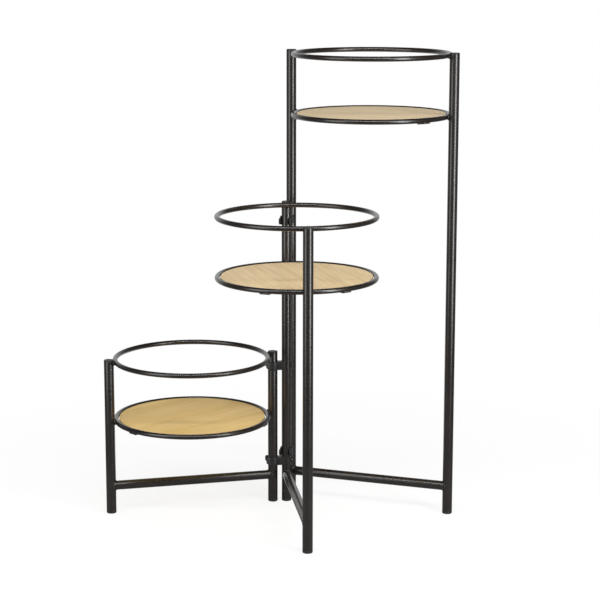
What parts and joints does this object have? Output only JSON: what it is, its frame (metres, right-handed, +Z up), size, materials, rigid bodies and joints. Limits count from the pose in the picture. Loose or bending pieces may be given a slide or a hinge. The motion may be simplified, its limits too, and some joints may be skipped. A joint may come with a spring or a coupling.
{
  "type": "tiered plant stand",
  "caption": "Folding plant stand of three swivelling tube frames in rising heights, each with a hoop over a round wooden shelf.",
  "frame": {"origin": "on the floor, on the axis of the middle frame's inner leg, which both swivels share", "axes": "+Z up along the legs; -Y along the middle frame, towards the viewer; +X to the tall frame's side"},
  "size_m": [0.5618, 0.3919, 0.75],
  "materials": {
    "frame_coat": "satin black powder coat",
    "board_wood": "light oak grain, matt",
    "clip_plastic": "moulded black nylon",
    "plug_plastic": "moulded black plastic",
    "screw_steel": "black oxide"
  },
  "bodies": {
    "low_frame": {"low_inner_leg": "frame_coat", "low_outer_leg": "frame_coat", "low_feet": "plug_plastic", "low_leg_caps": "plug_plastic", "low_crossbar": "frame_coat", "low_top_hoop": "frame_coat", "low_shelf_hoop": "frame_coat", "low_board_tabs": "frame_coat", "low_board": "board_wood", "low_board_screws": "screw_steel"},
    "middle_frame": {"middle_inner_leg": "frame_coat", "middle_outer_leg": "frame_coat", "middle_feet": "plug_plastic", "middle_leg_caps": "plug_plastic", "middle_crossbar": "frame_coat", "middle_top_hoop": "frame_coat", "middle_shelf_hoop": "frame_coat", "middle_board_tabs": "frame_coat", "middle_board": "board_wood", "middle_board_screws": "screw_steel", "middle_lower_swivel_clip": "clip_plastic", "middle_lower_clip_screw": "screw_steel", "middle_upper_swivel_clip": "clip_plastic", "middle_upper_clip_screw": "screw_steel"},
    "tall_frame": {"tall_inner_leg": "frame_coat", "tall_outer_leg": "frame_coat", "tall_feet": "plug_plastic", "tall_leg_caps": "plug_plastic", "tall_crossbar": "frame_coat", "tall_top_hoop": "frame_coat", "tall_shelf_hoop": "frame_coat", "tall_board_tabs": "frame_coat", "tall_board": "board_wood", "tall_board_screws": "screw_steel", "tall_lower_swivel_clip": "clip_plastic", "tall_lower_clip_screw": "screw_steel", "tall_upper_swivel_clip": "clip_plastic", "tall_upper_clip_screw": "screw_steel"}
  },
  "joints": [
    {"name": "tall_frame_swivel", "type": "hinge", "parent": "middle_frame", "child": "tall_frame", "pos_m": [0, 0, 0], "axis": [0, 0, 1], "range_deg": [-63, 45]},
    {"name": "low_frame_swivel", "type": "hinge", "parent": "middle_frame", "child": "low_frame", "pos_m": [-0.023, 0, 0], "axis": [0, 0, 1], "range_deg": [-45, 83]}
  ]
}
